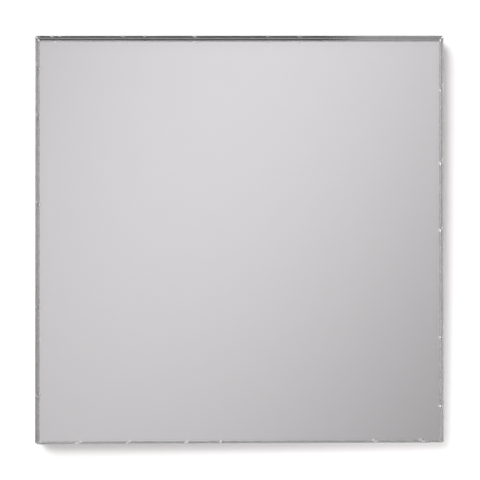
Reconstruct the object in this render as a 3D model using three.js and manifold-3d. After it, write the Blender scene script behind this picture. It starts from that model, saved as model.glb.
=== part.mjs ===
// A small square frameless mirror tile: a pane of float glass with silver, copper and two coats of
// paint on its back.
//
// Millimetres. The tile lies face up: +Z is the way the mirror looks, +Y is its rear edge and +X its
// right edge. The origin is under the tile's centre, on the plane that its painted back rests on.

import * as THREE from 'three';
import { mergeVertices } from 'three/addons/utils/BufferGeometryUtils.js';
import Module from 'manifold-3d';

const wasm = await Module();
wasm.setup();

// ---------------------------------------------------------------------------------------------
// Driving dimensions
// ---------------------------------------------------------------------------------------------

const TILE_SIDE = 100;
const GLASS_THICKNESS = 4;
const FRONT_ARRIS = 0.22; // the width and height of the ground arris round the mirror's face
const BACK_ARRIS = 0.15; // the same round the pane's back, which is only swiped

// How much of each of its two sides a corner's cut takes away. The corners are only lightly broken.
const CORNER_CUTS = { frontLeft: 0.45, frontRight: 0.2, rearRight: 0.3, rearLeft: 0.3 };

// The coats, from the glass outwards. The metals are far thinner on a real mirror.
const SILVER_THICKNESS = 0.02;
const COPPER_THICKNESS = 0.02;
const BASE_PAINT_THICKNESS = 0.05;
const TOP_PAINT_THICKNESS = 0.05;

// How far each corner was cut from its place on a true square, in X and Y.
const CUT_ERRORS = {
  frontLeft: [0, 0],
  frontRight: [0, 0.48],
  rearLeft: [0.08, 0],
  rearRight: [-0.08, 0],
};

// Shell chips that handling has knocked out of the front arris. Each one has its place along its
// edge, measured from the edge's middle, and its radius. A chip is longer along the edge than across
// it, and not quite as deep.
const CHIP_LENGTH_RATIO = 1.7;
const CHIP_DEPTH_RATIO = 0.8;
const CHIP_SIDES = 9;
const CHIP_RINGS = 6;
const CHIPS = {
  rear: [[-45.9, 0.26], [-44, 0.18], [-28.5, 0.24], [-23.2, 0.2], [-10.9, 0.28], [7, 0.2], [14.8, 0.24]],
  front: [[-39.8, 0.24], [-27.6, 0.2], [-13.1, 0.28], [-4.6, 0.2], [33.6, 0.3], [45.4, 0.34]],
  left: [[-38, 0.24], [-16.5, 0.18], [9.2, 0.26], [30.7, 0.2], [43.1, 0.24]],
  right: [[-41.5, 0.24], [-24.2, 0.2], [2.6, 0.24], [19.4, 0.28], [37.8, 0.2]],
};

const MERGE_TOLERANCE = 1e-4; // points closer than this are one point

// ---------------------------------------------------------------------------------------------
// Worked-out sizes: the height of each layer above the surface that the tile lies on
// ---------------------------------------------------------------------------------------------

const TOP_PAINT_Z = 0;
const BASE_PAINT_Z = TOP_PAINT_Z + TOP_PAINT_THICKNESS;
const COPPER_Z = BASE_PAINT_Z + BASE_PAINT_THICKNESS;
const SILVER_Z = COPPER_Z + COPPER_THICKNESS;
const GLASS_Z = SILVER_Z + SILVER_THICKNESS;

const HALF_SIDE = TILE_SIDE / 2;

// Each edge's outward direction, and the direction in which a place along it is measured.
const EDGES = {
  front: { outward: [0, -1], along: [1, 0] },
  rear: { outward: [0, 1], along: [1, 0] },
  left: { outward: [-1, 0], along: [0, 1] },
  right: { outward: [1, 0], along: [0, 1] },
};

// ---------------------------------------------------------------------------------------------
// Materials
// ---------------------------------------------------------------------------------------------

const glass = new THREE.MeshStandardMaterial({
  name: 'float_glass',
  color: 0xdfe9e4,
  roughness: 0.03,
  metalness: 0,
  transparent: true,
  opacity: 0.35,
});
const silver = new THREE.MeshStandardMaterial({
  name: 'silver',
  color: 0xd6d4d7,
  roughness: 0.02,
  metalness: 1,
});
const copper = new THREE.MeshStandardMaterial({
  name: 'copper',
  color: 0xb87355,
  roughness: 0.3,
  metalness: 1,
});
const basePaint = new THREE.MeshStandardMaterial({
  name: 'base_paint',
  color: 0x6f4a3a,
  roughness: 0.6,
  metalness: 0,
});
const topPaint = new THREE.MeshStandardMaterial({
  name: 'top_paint',
  color: 0x7f8a8c,
  roughness: 0.5,
  metalness: 0,
});

// ---------------------------------------------------------------------------------------------
// Outlines
// ---------------------------------------------------------------------------------------------

// A point of the true square, moved to where the tile was really cut.
function asCut(x, y) {
  const across = (x + HALF_SIDE) / TILE_SIDE;
  const along = (y + HALF_SIDE) / TILE_SIDE;
  const lerp = THREE.MathUtils.lerp;
  const error = [0, 1].map((axis) => lerp(
    lerp(CUT_ERRORS.frontLeft[axis], CUT_ERRORS.frontRight[axis], across),
    lerp(CUT_ERRORS.rearLeft[axis], CUT_ERRORS.rearRight[axis], across),
    along,
  ));
  return new THREE.Vector2(x + error[0], y + error[1]);
}

// The tile's outline moved inwards by inset all round, with its corners cut off at 45 degrees.
function tileOutline(inset) {
  const half = HALF_SIDE - inset;
  const near = (corner) => half - CORNER_CUTS[corner] + (2 - Math.SQRT2) * inset;
  return new THREE.Shape([
    asCut(-near('frontLeft'), -half),
    asCut(near('frontRight'), -half),
    asCut(half, -near('frontRight')),
    asCut(half, near('rearRight')),
    asCut(near('rearRight'), half),
    asCut(-near('rearLeft'), half),
    asCut(-half, near('rearLeft')),
    asCut(-half, -near('frontLeft')),
  ]);
}

// ---------------------------------------------------------------------------------------------
// Solids
// ---------------------------------------------------------------------------------------------

// A closed geometry as a manifold solid, with only its positions kept.
function toSolid(geometry) {
  const bare = geometry.clone();
  bare.deleteAttribute('normal');
  bare.deleteAttribute('uv');
  const merged = mergeVertices(bare, MERGE_TOLERANCE);
  return new wasm.Manifold(
    new wasm.Mesh({
      numProp: 3,
      vertProperties: new Float32Array(merged.attributes.position.array),
      triVerts: new Uint32Array(merged.index.array),
    }),
  );
}

function toGeometry(solid) {
  const mesh = solid.getMesh();
  const geometry = new THREE.BufferGeometry();
  geometry.setAttribute('position', new THREE.BufferAttribute(mesh.vertProperties, 3));
  geometry.setIndex(new THREE.BufferAttribute(mesh.triVerts, 1));
  geometry.computeVertexNormals();
  return geometry;
}

// A slab with the tile's outline between two heights, with an arris on its top and bottom edges.
function arrisedSlab(bottom, top, arris) {
  const slab = new THREE.ExtrudeGeometry(tileOutline(0), {
    depth: top - bottom - 2 * arris,
    bevelEnabled: true,
    bevelThickness: arris,
    bevelSize: arris,
    bevelOffset: -arris,
    bevelSegments: 1,
  });
  slab.translate(0, 0, bottom + arris);
  return toSolid(slab);
}

// The pane before handling. One slab gives it its face and front arris, the other its back.
function groundPane() {
  const front = arrisedSlab(-GLASS_THICKNESS, GLASS_THICKNESS, FRONT_ARRIS);
  const back = arrisedSlab(0, 2 * GLASS_THICKNESS, BACK_ARRIS);
  return front.intersect(back);
}

// What one chip takes away: a faceted shell, wider along the edge than across it, sunk into the
// line where the front arris meets the mirror's face.
function chipTool(edge, place, radius) {
  const { outward, along } = EDGES[edge];
  const reach = HALF_SIDE - FRONT_ARRIS;
  const centre = asCut(
    outward[0] * reach + along[0] * place,
    outward[1] * reach + along[1] * place,
  );
  const shell = new THREE.SphereGeometry(radius, CHIP_SIDES, CHIP_RINGS);
  shell.scale(
    along[0] ? CHIP_LENGTH_RATIO : 1,
    along[1] ? CHIP_LENGTH_RATIO : 1,
    CHIP_DEPTH_RATIO,
  );
  shell.translate(centre.x, centre.y, GLASS_THICKNESS);
  return toSolid(shell);
}

function glassPane() {
  let pane = groundPane();
  for (const [edge, chips] of Object.entries(CHIPS)) {
    for (const [place, radius] of chips) {
      pane = pane.subtract(chipTool(edge, place, radius));
    }
  }
  return toGeometry(pane);
}

// A coat on the pane's back, which ends where the back arris was swiped through it.
function coat(thickness) {
  return new THREE.ExtrudeGeometry(tileOutline(BACK_ARRIS), {
    depth: thickness,
    bevelEnabled: false,
  });
}

// ---------------------------------------------------------------------------------------------
// Assembly
// ---------------------------------------------------------------------------------------------

function piece(name, geometry, material, z) {
  const mesh = new THREE.Mesh(geometry, material);
  mesh.name = name;
  mesh.position.z = z;
  return mesh;
}

const tile = new THREE.Group();
tile.name = 'mirror_tile';
tile.add(
  piece('glass_pane', glassPane(), glass, GLASS_Z),
  piece('silver_coat', coat(SILVER_THICKNESS), silver, SILVER_Z),
  piece('copper_coat', coat(COPPER_THICKNESS), copper, COPPER_Z),
  piece('base_paint_coat', coat(BASE_PAINT_THICKNESS), basePaint, BASE_PAINT_Z),
  piece('top_paint_coat', coat(TOP_PAINT_THICKNESS), topPaint, TOP_PAINT_Z),
);

export default tile;
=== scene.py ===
import math
from collections import namedtuple

import bmesh
import bpy
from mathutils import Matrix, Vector, noise


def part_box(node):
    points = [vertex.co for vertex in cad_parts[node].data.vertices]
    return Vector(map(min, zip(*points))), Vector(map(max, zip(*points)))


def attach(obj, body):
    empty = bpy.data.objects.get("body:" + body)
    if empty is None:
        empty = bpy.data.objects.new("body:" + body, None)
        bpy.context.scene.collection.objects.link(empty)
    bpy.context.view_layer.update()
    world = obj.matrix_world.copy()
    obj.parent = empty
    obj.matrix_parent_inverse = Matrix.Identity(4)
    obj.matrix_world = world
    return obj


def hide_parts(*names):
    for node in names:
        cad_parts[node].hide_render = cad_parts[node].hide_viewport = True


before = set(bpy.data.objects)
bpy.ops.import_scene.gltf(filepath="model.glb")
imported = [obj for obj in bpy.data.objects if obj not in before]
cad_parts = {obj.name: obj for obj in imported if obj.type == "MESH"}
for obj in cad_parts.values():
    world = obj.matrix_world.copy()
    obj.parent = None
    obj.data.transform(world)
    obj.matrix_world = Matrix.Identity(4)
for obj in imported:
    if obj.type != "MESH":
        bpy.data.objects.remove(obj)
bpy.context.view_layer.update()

# A square mirror tile lying face up on a white sheet, in soft light from the upper left. Metres, with
# +Z up out of the mirror's face, +Y to the rear edge and +X to the right.

# ---------------------------------------------------------------------------------------------
# Sizes
# ---------------------------------------------------------------------------------------------

MM = 0.001

PANE_LOW, PANE_HIGH = (Vector(corner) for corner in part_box("glass_pane"))
HALF_SIDE = PANE_HIGH.y  # the rear edge is the one that was cut true
FACE_Z = PANE_HIGH.z

FRONT_ARRIS = 0.22 * MM
BACK_ARRIS = 0.15 * MM

# How much of each of its two sides a corner's cut takes away, anticlockwise from the front left.
CORNER_CUTS = (0.45 * MM, 0.2 * MM, 0.3 * MM, 0.3 * MM)

# How far each corner of the tile was cut from its place on a true square.
CUT_ERRORS = {
    "front_left": Vector((0.0, 0.0)),
    "front_right": Vector((0.0, 0.48 * MM)),
    "rear_left": Vector((0.08 * MM, 0.0)),
    "rear_right": Vector((-0.08 * MM, 0.0)),
}

# The chips in the front arris: the place of each along its edge, and its radius, in millimetres.
CHIPS = {
    "rear": [
        (-45.9, 0.26), (-44, 0.18), (-28.5, 0.24), (-23.2, 0.2), (-10.9, 0.28), (7, 0.2), (14.8, 0.24),
    ],
    "front": [(-39.8, 0.24), (-27.6, 0.2), (-13.1, 0.28), (-4.6, 0.2), (33.6, 0.3), (45.4, 0.34)],
    "left": [(-38, 0.24), (-16.5, 0.18), (9.2, 0.26), (30.7, 0.2), (43.1, 0.24)],
    "right": [(-41.5, 0.24), (-24.2, 0.2), (2.6, 0.24), (19.4, 0.28), (37.8, 0.2)],
}
CHIP_LENGTH = 1.7  # a chip is this much longer along the edge than across it
CHIP_DEPTH = 0.8  # and this much of its radius deep

# The front arris is a little rounded. This is the middle of the round, as shares of the arris.
SHOULDER_INSET = 0.42
SHOULDER_DROP = 0.5
CHIP_FLOOR = 0.95  # no chip is deeper than this share of the arris

# A coat's rim in section, from the bottom up: inset and height, as shares of its thickness.
COAT_PROFILE = [(0.5, 0.0), (0.12, 0.3), (0.0, 0.7), (0.0, 1.0)]
SILVER_TUCK = 0.005 * MM  # how far the silver goes into the glass, so that no gap shows

# Ribs that the break left down the rear wall: from and to along the edge, and their depth.
RIBS = [(19 * MM, 27 * MM, 0.008 * MM), (37.5 * MM, 46 * MM, 0.02 * MM)]
RIB_PITCH = 0.9 * MM
RIB_FADE = 1.5 * MM

# How far the ground edges wander from straight, and over what length.
FRONT_WANDER = 0.05 * MM
BACK_WANDER = 0.03 * MM
PAINT_WANDER = 0.08 * MM
WANDER_LENGTH = 2.5 * MM

# Hairlines on the face: middle x and y in millimetres, turn in degrees, length in millimetres.
HAIRLINES = [
    (-40.9, -46.3, 62, 1.6),
    (-40.3, -47.2, 118, 1.1),
    (-39.4, -48.2, 70, 1.5),
    (-38.1, -48.0, 95, 1.2),
    (45.9, -40.3, 55, 0.9),
    (-12.0, 21.5, 24, 3.2),
    (18.5, -8.0, 150, 2.4),
]
HAIRLINE_WIDTH = 0.03 * MM

GLASS_IOR = 1.52

# The faint green of the pane: what its body lets through best, and how strongly it absorbs the rest.
GLASS_TINT = (0.6, 0.82, 0.75, 1)
GLASS_DENSITY = 8.0

FLOOR_SIDE = 6.0

# The meshes' fineness.
EDGE_STEP = 0.1 * MM
CORNER_STEPS = 6
WALL_RINGS = 3

# The camera looks straight down from a little forward of the tile, and its lens is shifted by the
# same amount to bring the tile back to the middle of the picture.
CAMERA_FORWARD = 23.5 * MM
CAMERA_HEIGHT = 260 * MM
AIM = Vector((0.14 * MM, -0.02 * MM, FACE_Z))
FRAME_WIDTH = 117.3 * MM
SENSOR_WIDTH = 36

# Round softboxes that face the tile: the key to the upper left, and a small low one opposite it,
# which lightens the shadow at the near right corner.
Softbox = namedtuple("Softbox", "name place size power")
SOFTBOXES = [
    Softbox("key", Vector((-0.6, 0.6, 0.8)), size=0.9, power=14.9),
    Softbox("fill", Vector((0.15, -0.15, 0.06)), size=0.06, power=0.22),
]

# ---------------------------------------------------------------------------------------------
# The studio round the tile, as slopes: how far to the right and to the rear a direction leans for
# each unit that it rises
# ---------------------------------------------------------------------------------------------

ROOF_LIGHT = 0.2
ROOF_COLOUR = (1.02, 0.975, 0.975, 1)

# The soft glow on the roof, which the mirror's face shows.
GLOW_CENTRE = (0.005, 0.272)
GLOW_TURN = math.radians(25)
GLOW_LENGTH = 0.479
GLOW_WIDTH = 0.247
GLOW_LIGHT = 0.61
GLOW_COLOUR = (1.01, 0.945, 0.98, 1)

Card = namedtuple("Card", "left right front rear soft light")
FAR = 1000.0

# White banks, each a rectangle in slopes with soft sides.
BANKS = [
    Card(left=-FAR, right=-0.27, front=-FAR, rear=FAR, soft=0.05, light=0.75),
    Card(left=-FAR, right=0.13, front=0.37, rear=FAR, soft=0.03, light=0.6),
    Card(left=-FAR, right=FAR, front=-0.24, rear=-0.15, soft=0.03, light=0.7),
    Card(left=0.8, right=FAR, front=-FAR, rear=FAR, soft=0.3, light=0.5),
]

# A plain pale wall all round, below the banks. Its top, and the fade under it, are in sines of the
# elevation.
WALL_LIGHT = 0.7
WALL_TOP = 0.4
WALL_SOFT = 0.1

LEAST_RISE = 0.02  # keeps the slopes finite for directions near the horizon and below it

# The dark of the camera and its stand, which the rear wall shows.
DARK_CARD = Card(left=-0.6, right=0.12, front=-0.5, rear=-0.255, soft=0.03, light=0.95)

# ---------------------------------------------------------------------------------------------
# Shader graphs
# ---------------------------------------------------------------------------------------------


class Graph:
    """Builds a node tree one node at a time."""

    def __init__(self, tree):
        self.tree = tree
        self.tree.nodes.clear()

    def node(self, kind, inputs=None, **settings):
        """A new node. An input is a number, a colour or another node's output."""
        made = self.tree.nodes.new(kind)
        for name, value in settings.items():
            setattr(made, name, value)
        for name, value in (inputs or {}).items():
            socket = made.inputs[name]
            if isinstance(value, bpy.types.NodeSocket):
                self.tree.links.new(value, socket)
            else:
                socket.default_value = value
        return made

    def math(self, operation, a, b=0.0):
        return self.node("ShaderNodeMath", {0: a, 1: b}, operation=operation).outputs[0]

    def product(self, first, *others):
        for other in others:
            first = self.math("MULTIPLY", first, other)
        return first

    def dot(self, vector, direction):
        made = self.node("ShaderNodeVectorMath", {0: vector, 1: direction}, operation="DOT_PRODUCT")
        return made.outputs["Value"]

    def between(self, value, low, high, to_low=0.0, to_high=1.0):
        """Value mapped smoothly from low..high to to_low..to_high."""
        made = self.node(
            "ShaderNodeMapRange",
            {"Value": value, "From Min": low, "From Max": high, "To Min": to_low, "To Max": to_high},
            interpolation_type="SMOOTHSTEP",
        )
        return made.outputs["Result"]

    def mix(self, factor, a, b):
        made = self.node("ShaderNodeMix", {"Factor": factor, 6: a, 7: b}, data_type="RGBA")
        return made.outputs[2]

    def noise(self, vector, size, detail=2.0, roughness=0.5):
        """Noise from 0 to 1 whose blotches are about size metres across."""
        made = self.node(
            "ShaderNodeTexNoise",
            {"Vector": vector, "Scale": 1 / size, "Detail": detail, "Roughness": roughness},
        )
        return made.outputs["Fac"]

    def bump(self, height, distance, strength=1.0):
        inputs = {"Height": height, "Distance": distance, "Strength": strength}
        return self.node("ShaderNodeBump", inputs).outputs["Normal"]

    def principled(self, **inputs):
        """A Principled shader. Its inputs' names are written with underscores."""
        named = {name.replace("_", " "): value for name, value in inputs.items()}
        return self.node("ShaderNodeBsdfPrincipled", named).outputs[0]


def rgb(red, green, blue):
    return (red, green, blue, 1)


# ---------------------------------------------------------------------------------------------
# Camera, light and stage
# ---------------------------------------------------------------------------------------------


def make_camera():
    """A plain camera that looks straight down through a shifted lens."""
    data = bpy.data.cameras.new("camera")
    data.sensor_width = SENSOR_WIDTH
    data.lens = SENSOR_WIDTH * CAMERA_HEIGHT / FRAME_WIDTH
    data.shift_y = CAMERA_FORWARD / FRAME_WIDTH
    camera = bpy.data.objects.new("camera", data)
    camera.location = AIM + Vector((0, -CAMERA_FORWARD, CAMERA_HEIGHT))
    bpy.context.scene.collection.objects.link(camera)
    bpy.context.scene.camera = camera


def make_softbox(softbox):
    """A lamp that is kept out of reflections, where the studio's own banks show."""
    data = bpy.data.lights.new(softbox.name, "AREA")
    data.shape = "DISK"
    data.size = softbox.size
    data.energy = softbox.power
    lamp = bpy.data.objects.new(softbox.name, data)
    lamp.location = softbox.place
    lamp.rotation_mode = "QUATERNION"
    lamp.rotation_quaternion = (-softbox.place).to_track_quat("-Z", "Y")
    lamp.visible_camera = False
    lamp.visible_glossy = False
    lamp.visible_transmission = False
    bpy.context.scene.collection.objects.link(lamp)


def card_share(g, rightward, rearward, card):
    """How much of a card a direction meets, from 0 to 1."""
    return g.product(
        g.between(rightward, card.left, card.left + card.soft),
        g.between(rightward, card.right - card.soft, card.right, 1.0, 0.0),
        g.between(rearward, card.front, card.front + card.soft),
        g.between(rearward, card.rear - card.soft, card.rear, 1.0, 0.0),
    )


def glow(g, rightward, rearward):
    """A long soft blotch of light, turned a little from the rearward direction."""
    from_x = g.math("SUBTRACT", rightward, GLOW_CENTRE[0])
    from_y = g.math("SUBTRACT", rearward, GLOW_CENTRE[1])
    turn = (math.sin(GLOW_TURN), math.cos(GLOW_TURN))
    along = g.math("ADD", g.math("MULTIPLY", from_x, turn[0]), g.math("MULTIPLY", from_y, turn[1]))
    across = g.math(
        "SUBTRACT",
        g.math("MULTIPLY", from_x, turn[1]),
        g.math("MULTIPLY", from_y, turn[0]),
    )
    squares = g.math(
        "ADD",
        g.math("POWER", g.math("DIVIDE", along, GLOW_LENGTH), 2),
        g.math("POWER", g.math("DIVIDE", across, GLOW_WIDTH), 2),
    )
    fall = g.math("EXPONENT", g.math("MULTIPLY", squares, -0.5))
    return g.math("MULTIPLY", fall, GLOW_LIGHT)


def make_studio():
    """A dim roof with a glow, white banks and a pale wall round it, and the dark of the camera."""
    world = bpy.data.worlds.new("studio")
    bpy.context.scene.world = world
    world.use_nodes = True
    g = Graph(world.node_tree)
    direction = g.node("ShaderNodeTexCoord").outputs["Generated"]
    height = g.dot(direction, (0, 0, 1))
    rise = g.math("MAXIMUM", height, LEAST_RISE)
    rightward = g.math("DIVIDE", g.dot(direction, (1, 0, 0)), rise)
    rearward = g.math("DIVIDE", g.dot(direction, (0, 1, 0)), rise)

    light = ROOF_LIGHT
    for card in BANKS:
        bank = g.math("MULTIPLY", card_share(g, rightward, rearward, card), card.light)
        light = g.math("MAXIMUM", light, g.math("ADD", bank, ROOF_LIGHT))
    wall_share = g.between(height, WALL_TOP - WALL_SOFT, WALL_TOP, 1.0, 0.0)
    over_wall = g.math("MULTIPLY", light, g.math("SUBTRACT", 1.0, wall_share))
    light = g.math("ADD", over_wall, g.math("MULTIPLY", wall_share, WALL_LIGHT))
    hidden = g.math("MULTIPLY", card_share(g, rightward, rearward, DARK_CARD), DARK_CARD.light)
    open_share = g.math("SUBTRACT", 1.0, hidden)
    roof = g.node(
        "ShaderNodeBackground",
        {"Color": ROOF_COLOUR, "Strength": g.math("MULTIPLY", light, open_share)},
    )
    soft = g.node(
        "ShaderNodeBackground",
        {"Color": GLOW_COLOUR, "Strength": g.math("MULTIPLY", glow(g, rightward, rearward), open_share)},
    )
    both = g.node("ShaderNodeAddShader", {0: roof.outputs[0], 1: soft.outputs[0]})
    g.node("ShaderNodeOutputWorld", {"Surface": both.outputs[0]})


def make_floor():
    """A wide white sheet under the tile."""
    half = FLOOR_SIDE / 2
    mesh = bpy.data.meshes.new("floor")
    mesh.from_pydata(
        [(-half, -half, 0), (half, -half, 0), (half, half, 0), (-half, half, 0)],
        [],
        [(0, 1, 2, 3)],
    )
    floor = bpy.data.objects.new("floor", mesh)
    bpy.context.scene.collection.objects.link(floor)
    floor.data.materials.append(white_sheet())


# ---------------------------------------------------------------------------------------------
# Materials
# ---------------------------------------------------------------------------------------------


def new_material(name):
    """An empty material, its graph and the place on the object in metres."""
    material = bpy.data.materials.new(name)
    material.use_nodes = True
    g = Graph(material.node_tree)
    return material, g, g.node("ShaderNodeTexCoord").outputs["Object"]


def white_sheet():
    material, g, place = new_material("white_sheet")
    grain = g.noise(place, 0.4 * MM, detail=4)
    shader = g.principled(
        Base_Color=rgb(0.9, 0.9, 0.9),
        Roughness=0.7,
        Normal=g.bump(grain, 0.02 * MM, 0.15),
    )
    g.node("ShaderNodeOutputMaterial", {"Surface": shader})
    return material


def hairlines(g, place):
    """1 on the hairline scratches and 0 beside them."""
    marks = 0.0
    for x, y, turn, length in HAIRLINES:
        middle = Vector((x * MM, y * MM, 0))
        along = Vector((math.cos(math.radians(turn)), math.sin(math.radians(turn)), 0))
        across = Vector((-along.y, along.x, 0))
        off_end = g.math("ABSOLUTE", g.math("SUBTRACT", g.dot(place, along), middle.dot(along)))
        off_side = g.math("ABSOLUTE", g.math("SUBTRACT", g.dot(place, across), middle.dot(across)))
        half = length * MM / 2
        mark = g.product(
            g.between(off_side, 0.0, HAIRLINE_WIDTH, 1.0, 0.0),
            g.between(off_end, 0.6 * half, half, 1.0, 0.0),
        )
        marks = g.math("MAXIMUM", marks, mark)
    return marks


def finish_glass(g, shader):
    """Joins a glass surface to its output, with the faint green that the pane has all through."""
    depth = g.node("ShaderNodeVolumeAbsorption", {"Color": GLASS_TINT, "Density": GLASS_DENSITY})
    g.node("ShaderNodeOutputMaterial", {"Surface": shader, "Volume": depth.outputs[0]})


def polished_glass():
    """Clear float glass, with hairlines on its face."""
    material, g, place = new_material("polished_glass")
    waves = g.noise(place, 9 * MM)
    marks = hairlines(g, place)
    shader = g.principled(
        Base_Color=rgb(1, 1, 1),
        Roughness=g.math("MULTIPLY", marks, 0.5),
        IOR=GLASS_IOR,
        Transmission_Weight=1.0,
        Normal=g.bump(waves, 0.003 * MM, 0.2),
    )
    finish_glass(g, shader)
    return material


def ground_glass():
    """The belt-ground front arris, with the belt's fine marks and a few coarser bites."""
    material, g, place = new_material("ground_glass")
    grit = g.noise(place, 0.15 * MM, detail=4, roughness=0.7)
    bites = g.noise(place, 0.9 * MM, detail=3)
    shader = g.principled(
        Base_Color=g.mix(g.between(bites, 0.35, 0.65), rgb(0.98, 0.98, 0.98), rgb(0.84, 0.85, 0.85)),
        Roughness=g.between(grit, 0.3, 0.7, 0.75, 0.95),
        IOR=GLASS_IOR,
        Transmission_Weight=1.0,
        Normal=g.bump(grit, 0.02 * MM, 0.35),
    )
    finish_glass(g, shader)
    return material


def frosted_glass():
    """The back arris, which a coarse belt has left white."""
    material, g, place = new_material("frosted_glass")
    grit = g.noise(place, 0.1 * MM, detail=4, roughness=0.7)
    shader = g.principled(
        Base_Color=g.mix(g.between(grit, 0.3, 0.7), rgb(0.78, 0.8, 0.79), rgb(0.92, 0.92, 0.92)),
        Roughness=g.between(grit, 0.3, 0.7, 0.45, 0.65),
        IOR=GLASS_IOR,
        Transmission_Weight=0.2,
        Normal=g.bump(grit, 0.02 * MM, 0.4),
    )
    finish_glass(g, shader)
    return material


def metal(name, light, dark, roughness):
    """A thin metal coat, with a faint cloud in it and small spots where it has begun to tarnish."""
    material, g, place = new_material(name)
    cloud = g.noise(place, 6 * MM, detail=3)
    spots = g.between(g.noise(place, 0.5 * MM, detail=3), 0.76, 0.8)
    shader = g.principled(
        Base_Color=g.mix(g.math("MULTIPLY", cloud, 0.5), light, dark),
        Metallic=1.0,
        Roughness=g.math("ADD", roughness, g.math("MULTIPLY", spots, 0.02)),
    )
    g.node("ShaderNodeOutputMaterial", {"Surface": shader})
    return material


def paint(name, light, dark, gloss):
    """Sprayed back paint: orange peel, a blotchy colour, fine specks and light rubs from handling."""
    material, g, place = new_material(name)
    peel = g.noise(place, 0.8 * MM, detail=3)
    colour = g.mix(g.noise(place, 14 * MM, detail=5), light, dark)
    specks = g.between(g.noise(place, 0.35 * MM, detail=2), 0.7, 0.74)
    colour = g.mix(g.math("MULTIPLY", specks, 0.5), colour, light)
    stretched = g.node("ShaderNodeMapping", {"Vector": place, "Scale": (1.0, 14.0, 1.0)}).outputs[0]
    rubs = g.between(g.noise(stretched, 8 * MM, detail=6), 0.58, 0.72)
    sprayed = g.between(peel, 0.3, 0.7, gloss, gloss + 0.15)
    shader = g.principled(
        Base_Color=colour,
        Roughness=g.math("SUBTRACT", sprayed, g.math("MULTIPLY", rubs, 0.15)),
        Normal=g.bump(peel, 0.03 * MM, 0.5),
    )
    g.node("ShaderNodeOutputMaterial", {"Surface": shader})
    return material


# ---------------------------------------------------------------------------------------------
# The tile's outline
# ---------------------------------------------------------------------------------------------

# One place on the outline: where it is, which way a point moves there for each unit of inset, the
# edge that it is on, and how far along that edge it is from the edge's middle.
Station = namedtuple("Station", "place inward edge along")

EDGE_NAMES = ("front", "front_right", "right", "rear_right", "rear", "rear_left", "left", "front_left")


def corner_points(inset):
    """The eight corners of the outline moved in by inset, anticlockwise from the front left."""
    half = HALF_SIDE - inset
    front_left, front_right, rear_right, rear_left = (
        half - cut + (2 - math.sqrt(2)) * inset for cut in CORNER_CUTS
    )
    return [
        Vector(corner)
        for corner in (
            (-front_left, -half), (front_right, -half), (half, -front_right), (half, rear_right),
            (rear_right, half), (-rear_left, half), (-half, rear_left), (-half, -front_left),
        )
    ]


def as_cut(point):
    """A point of the true square, moved to where the tile was really cut."""
    across = 0.5 + 0.5 * point.x / HALF_SIDE
    along = 0.5 + 0.5 * point.y / HALF_SIDE
    front = CUT_ERRORS["front_left"].lerp(CUT_ERRORS["front_right"], across)
    rear = CUT_ERRORS["rear_left"].lerp(CUT_ERRORS["rear_right"], across)
    return point + front.lerp(rear, along)


def outline_stations():
    """Places all round the tile's outline, in even steps along each edge and each corner's cut."""
    outer = corner_points(0.0)
    inner = corner_points(MM)
    stations = []
    for i, edge in enumerate(EDGE_NAMES):
        j = (i + 1) % len(EDGE_NAMES)
        steps = CORNER_STEPS if i % 2 else round(2 * HALF_SIDE / EDGE_STEP)
        for k in range(steps):
            place = outer[i].lerp(outer[j], k / steps)
            inward = (inner[i].lerp(inner[j], k / steps) - place) / MM
            along = place.x if edge in ("front", "rear") else place.y
            stations.append(Station(as_cut(place), inward, edge, along))
    return stations


def point_at(station, inset, z):
    place = station.place + inset * station.inward
    return Vector((place.x, place.y, z))


def wander(station, reach, seed):
    """A smooth drift along the outline, from 0 to reach."""
    drift = noise.noise(Vector((station.place.x, station.place.y, seed * MM)) / WANDER_LENGTH)
    return reach * (0.5 + 0.5 * drift)


def smooth_step(value, low, high):
    share = min(1.0, max(0.0, (value - low) / (high - low)))
    return share * share * (3 - 2 * share)


def rib_depth(station):
    """How far the ribs down the rear wall set it in at this station."""
    if station.edge != "rear":
        return 0.0
    depth = 0.0
    for start, end, full in RIBS:
        fade_in = smooth_step(station.along, start, start + RIB_FADE)
        fade_out = 1 - smooth_step(station.along, end - RIB_FADE, end)
        wave = 0.5 - 0.5 * math.cos(2 * math.pi * station.along / RIB_PITCH)
        depth += full * fade_in * fade_out * wave
    return depth


def chip_reach(station):
    """How far a chip reaches in from the face's rim at this station, or 0 where there is none."""
    reach = 0.0
    for place, radius in CHIPS.get(station.edge, []):
        share = (station.along - place * MM) / (CHIP_LENGTH * radius * MM)
        if abs(share) < 1:
            reach = max(reach, radius * MM * math.sqrt(1 - share * share))
    return reach


# ---------------------------------------------------------------------------------------------
# Meshes
# ---------------------------------------------------------------------------------------------


def lofted(name, rings, bands, sharp_rings):
    """A closed mesh through rings of points, with a flat cap at each end. bands holds, for each gap
    between two rings, a list with every face's material index. sharp_rings are creases."""
    mesh = bmesh.new()
    made = [[mesh.verts.new(point) for point in ring] for ring in rings]
    count = len(rings[0])
    for (lower, upper), band in zip(zip(made, made[1:]), bands):
        for i in range(count):
            j = (i + 1) % count
            face = mesh.faces.new((lower[i], lower[j], upper[j], upper[i]))
            face.material_index = band[i]
            face.smooth = True
    mesh.faces.new(list(reversed(made[0])))
    mesh.faces.new(made[-1])
    for index in sharp_rings:
        for i in range(count):
            edge = mesh.edges.get((made[index][i], made[index][(i + 1) % count]))
            edge.smooth = False
    data = bpy.data.meshes.new(name)
    mesh.to_mesh(data)
    mesh.free()
    return data


def add_piece(name, data, materials, node):
    """Puts a mesh in the scene as the piece that stands for a CAD node."""
    piece = bpy.data.objects.new(name, data)
    bpy.context.scene.collection.objects.link(piece)
    for material in materials:
        data.materials.append(material)
    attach(piece, "root")
    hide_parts(node)


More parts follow.
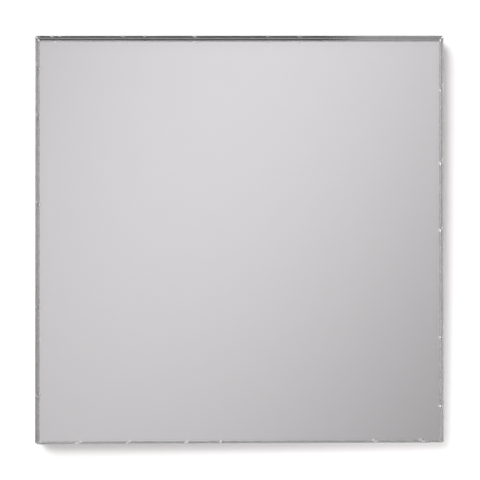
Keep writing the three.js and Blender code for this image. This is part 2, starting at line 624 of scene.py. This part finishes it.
def shoulder_point(station):
    """The middle of the front arris, which is a little rounded, or the bottom of a chip in it."""
    inset = SHOULDER_INSET * FRONT_ARRIS
    drop = SHOULDER_DROP * FRONT_ARRIS
    reach = chip_reach(station)
    if reach > 0:
        share = reach / (reach + FRONT_ARRIS)
        inset += share * FRONT_ARRIS
        drop = max(drop, min(CHIP_DEPTH * reach, CHIP_FLOOR * FRONT_ARRIS))
    return point_at(station, inset, FACE_Z - drop)


def rim_point(station):
    """Where the front arris, or a chip in it, meets the face."""
    inset = FRONT_ARRIS - 0.5 * FRONT_WANDER + wander(station, FRONT_WANDER, 1)
    return point_at(station, inset + chip_reach(station), FACE_Z)


def make_pane(stations):
    """The pane: frosted back arris, ribbed and polished walls, ground front arris and chips."""
    low = PANE_LOW.z
    back_foot = low + BACK_ARRIS
    front_foot = FACE_Z - FRONT_ARRIS
    rings = [[point_at(s, BACK_ARRIS + wander(s, BACK_WANDER, 2), low) for s in stations]]
    for k in range(WALL_RINGS + 2):
        z = back_foot + (front_foot - back_foot) * k / (WALL_RINGS + 1)
        rings.append([point_at(s, rib_depth(s), z) for s in stations])
    rings.append([shoulder_point(s) for s in stations])
    rings.append([rim_point(s) for s in stations])

    polished = [0] * len(stations)
    frosted = [2] * len(stations)
    ground_or_chip = [0 if chip_reach(s) > 0 else 1 for s in stations]
    bands = [frosted] + [polished] * (WALL_RINGS + 1) + [ground_or_chip, ground_or_chip]
    sharp = [0, 1, WALL_RINGS + 2, len(rings) - 1]
    data = lofted("glass_pane_fine", rings, bands, sharp)
    finishes = [polished_glass(), ground_glass(), frosted_glass()]
    add_piece("pane", data, finishes, "glass_pane")


def make_coat(name, stations, material, node, ragged, seed, tuck=0.0):
    """A coat with a ragged rim, rounded underneath. tuck sinks its top into what lies above it."""
    low, high = (corner[2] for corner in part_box(node))
    thickness = high - low
    rings = []
    for inset, height in COAT_PROFILE:
        z = low + height * thickness + (tuck if height == 1 else 0.0)
        rings.append([
            point_at(s, BACK_ARRIS + wander(s, ragged, seed) + inset * thickness, z)
            for s in stations
        ])
    bands = [[0] * len(stations)] * (len(rings) - 1)
    sharp = [0, len(rings) - 1]
    add_piece(name, lofted(name + "_fine", rings, bands, sharp), [material], node)


def make_coats(stations):
    """The silver, the copper and the two paints on the pane's back."""
    bright = metal("silver", rgb(0.887, 0.902, 0.905), rgb(0.858, 0.873, 0.876), 0.015)
    red = metal("copper", rgb(0.78, 0.44, 0.3), rgb(0.6, 0.3, 0.2), 0.3)
    brown = paint("base_paint", rgb(0.19, 0.085, 0.055), rgb(0.13, 0.06, 0.04), 0.55)
    grey = paint("top_paint", rgb(0.25, 0.29, 0.3), rgb(0.2, 0.235, 0.245), 0.42)
    make_coat("silver", stations, bright, "silver_coat", 0.0, 3, SILVER_TUCK)
    make_coat("copper", stations, red, "copper_coat", 0.2 * PAINT_WANDER, 4)
    make_coat("base_paint", stations, brown, "base_paint_coat", 0.5 * PAINT_WANDER, 5)
    make_coat("top_paint", stations, grey, "top_paint_coat", PAINT_WANDER, 6)


make_camera()
for box in SOFTBOXES:
    make_softbox(box)
make_studio()
make_floor()
outline = outline_stations()
make_pane(outline)
make_coats(outline)

bpy.context.scene.view_settings.view_transform = "Standard"
